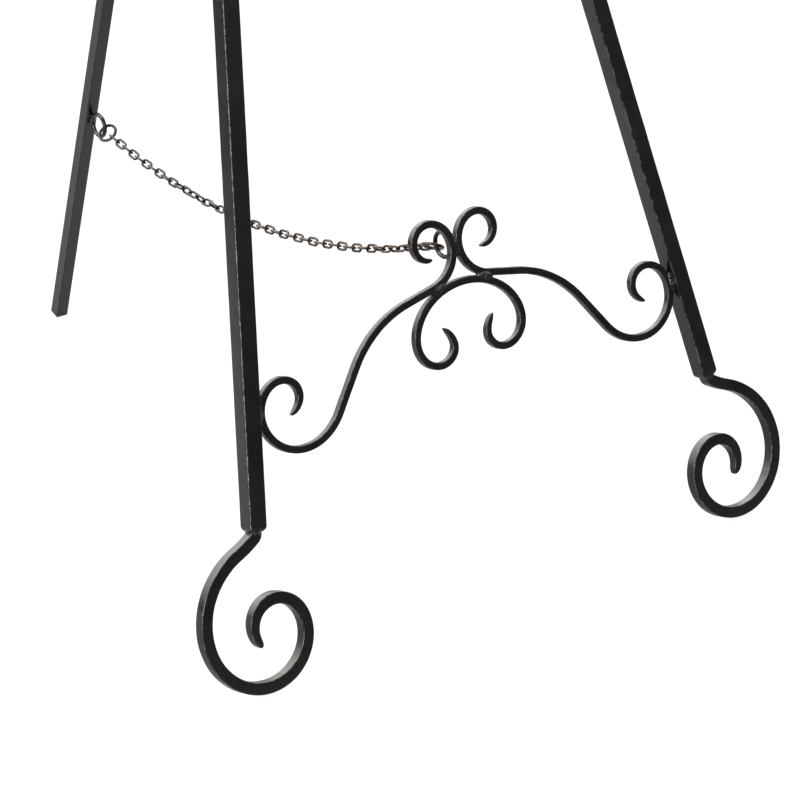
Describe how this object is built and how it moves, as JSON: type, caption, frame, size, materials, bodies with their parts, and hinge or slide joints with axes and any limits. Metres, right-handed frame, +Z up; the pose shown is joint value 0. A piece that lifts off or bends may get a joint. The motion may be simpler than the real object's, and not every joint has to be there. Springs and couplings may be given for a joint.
{
  "type": "display easel",
  "caption": "Floor display easel of square iron bar: splayed front legs on scroll feet, scrolled crossbar, hinged rear leg held by a chain, sliding picture brackets.",
  "frame": {"origin": "on the floor, in the plane of symmetry, in the middle of the ground that the easel covers from its front feet to its rear foot", "axes": "+Z up, +Y towards the rear leg, +X to the right as seen from the front; the front faces -Y"},
  "size_m": [0.6214, 0.7496, 1.5808],
  "materials": {
    "black_bar": "satin black powder coat with a fine texture, brighter on worn edges",
    "black_hardware": "black oxide hardware, slightly shinier than the bars",
    "ring_steel": "black coated wire",
    "chain_steel": "dark oiled steel with a brown tint"
  },
  "bodies": {
    "frame": {"front_leg_left": "black_bar", "front_leg_right": "black_bar", "foot_scroll_right": "black_bar", "foot_scroll_left": "black_bar", "side_scroll_right": "black_bar", "side_scroll_left": "black_bar", "center_scroll": "black_bar", "top_scroll_right": "black_bar", "top_scroll_left": "black_bar", "hinge_bar": "black_bar", "hinge_ear_left": "black_bar", "hinge_ear_right": "black_bar", "hinge_bolt": "black_hardware", "hinge_washer_left": "black_hardware", "hinge_washer_right": "black_hardware", "hinge_nut": "black_hardware", "front_eye_ring": "black_bar"},
    "rear_leg": {"rear_leg": "black_bar", "rear_eye_ring": "black_bar"},
    "front_ring": {"front_joining_ring": "ring_steel"},
    "chain_1": {"chain_run_1": "chain_steel"},
    "chain_2": {"chain_run_2": "chain_steel"},
    "chain_3": {"chain_run_3": "chain_steel"},
    "chain_4": {"chain_run_4": "chain_steel"},
    "chain_5": {"chain_run_5": "chain_steel"},
    "chain_6": {"chain_run_6": "chain_steel"},
    "chain_7": {"chain_run_7": "chain_steel"},
    "chain_8": {"chain_run_8": "chain_steel"},
    "chain_9": {"chain_run_9": "chain_steel"},
    "chain_10": {"chain_run_10": "chain_steel"},
    "rear_ring": {"rear_joining_ring": "ring_steel"},
    "bracket_left": {"picture_sleeve_left": "black_bar", "screw_boss_left": "black_bar", "picture_arm_left": "black_bar"},
    "screw_left": {"thumbscrew_left": "black_hardware"},
    "bracket_right": {"picture_sleeve_right": "black_bar", "screw_boss_right": "black_bar", "picture_arm_right": "black_bar"},
    "screw_right": {"thumbscrew_right": "black_hardware"}
  },
  "joints": [
    {"name": "rear_leg_fold", "type": "hinge", "parent": "frame", "child": "rear_leg", "pos_m": [0, 0.0039, 1.17317], "axis": [-1, 0, 0], "range_deg": [0, 30]},
    {"name": "front_ring_swing", "type": "hinge", "parent": "frame", "child": "front_ring", "pos_m": [0, -0.25802, 0.29061], "axis": [-0.9613, -0.1367, 0.2393], "range_deg": [0, 83.34]},
    {"name": "chain_1_bend", "type": "hinge", "parent": "front_ring", "child": "chain_1", "pos_m": [0, -0.24225, 0.28375], "axis": [-1, 0, 0], "range_deg": [0, 1.08]},
    {"name": "chain_2_bend", "type": "hinge", "parent": "chain_1", "child": "chain_2", "pos_m": [0, -0.19205, 0.26441], "axis": [-1, 0, 0], "range_deg": [0, 3.44]},
    {"name": "chain_3_bend", "type": "hinge", "parent": "chain_2", "child": "chain_3", "pos_m": [0, -0.13588, 0.24654], "axis": [-1, 0, 0], "range_deg": [0, 3.59]},
    {"name": "chain_4_bend", "type": "hinge", "parent": "chain_3", "child": "chain_4", "pos_m": [0, -0.08317, 0.23335], "axis": [-1, 0, 0], "range_deg": [0, 3.71]},
    {"name": "chain_5_bend", "type": "hinge", "parent": "chain_4", "child": "chain_5", "pos_m": [0, -0.02519, 0.22276], "axis": [-1, 0, 0], "range_deg": [0, 3.48]},
    {"name": "chain_6_bend", "type": "hinge", "parent": "chain_5", "child": "chain_6", "pos_m": [0, 0.01962, 0.21735], "axis": [-1, 0, 0], "range_deg": [-88.56, 0]},
    {"name": "rear_ring_swing", "type": "hinge", "parent": "rear_leg", "child": "rear_ring", "pos_m": [0, 0.26983, 0.23155], "axis": [-0.9613, -0.1659, -0.2201], "range_deg": [-98.54, 0]},
    {"name": "chain_10_bend", "type": "hinge", "parent": "rear_ring", "child": "chain_10", "pos_m": [0, 0.25298, 0.22809], "axis": [-1, 0, 0], "range_deg": [0, 2.52]},
    {"name": "chain_9_bend", "type": "hinge", "parent": "chain_10", "child": "chain_9", "pos_m": [0, 0.20895, 0.22106], "axis": [-1, 0, 0], "range_deg": [-3.33, 0]},
    {"name": "chain_8_bend", "type": "hinge", "parent": "chain_9", "child": "chain_8", "pos_m": [0, 0.15488, 0.21563], "axis": [-1, 0, 0], "range_deg": [-3.86, 0]},
    {"name": "chain_7_bend", "type": "hinge", "parent": "chain_8", "child": "chain_7", "pos_m": [0, 0.09598, 0.21369], "axis": [-1, 0, 0], "range_deg": [-3.88, 0]},
    {"name": "bracket_left_slide", "type": "slide", "parent": "frame", "child": "bracket_left", "axis": [0.1575, 0.2871, 0.9449], "range_m": [-0.42, 0.5]},
    {"name": "thumbscrew_left_turn", "type": "hinge", "parent": "bracket_left", "child": "screw_left", "pos_m": [-0.15346, -0.16912, 0.66219], "axis": [-0.9875, 0.0458, 0.1507], "range_deg": [0, 540]},
    {"name": "bracket_right_slide", "type": "slide", "parent": "frame", "child": "bracket_right", "axis": [-0.1575, 0.2871, 0.9449], "range_m": [-0.42, 0.5]},
    {"name": "thumbscrew_right_turn", "type": "hinge", "parent": "bracket_right", "child": "screw_right", "pos_m": [0.15346, -0.16912, 0.66219], "axis": [0.9875, 0.0458, 0.1507], "range_deg": [0, 540]}
  ],
  "couplings": [
    {"joint": "front_ring_swing", "follows": "rear_leg_fold", "ratio": 2.7779},
    {"joint": "chain_1_bend", "follows": "rear_leg_fold", "ratio": 0.035905},
    {"joint": "chain_2_bend", "follows": "rear_leg_fold", "ratio": 0.11443},
    {"joint": "chain_3_bend", "follows": "rear_leg_fold", "ratio": 0.11948},
    {"joint": "chain_4_bend", "follows": "rear_leg_fold", "ratio": 0.12339},
    {"joint": "chain_5_bend", "follows": "rear_leg_fold", "ratio": 0.11594},
    {"joint": "chain_6_bend", "follows": "rear_leg_fold", "ratio": -2.9519},
    {"joint": "rear_ring_swing", "follows": "rear_leg_fold", "ratio": -3.2846},
    {"joint": "chain_10_bend", "follows": "rear_leg_fold", "ratio": 0.083835},
    {"joint": "chain_9_bend", "follows": "rear_leg_fold", "ratio": -0.11094},
    {"joint": "chain_8_bend", "follows": "rear_leg_fold", "ratio": -0.12857},
    {"joint": "chain_7_bend", "follows": "rear_leg_fold", "ratio": -0.12913}
  ]
}
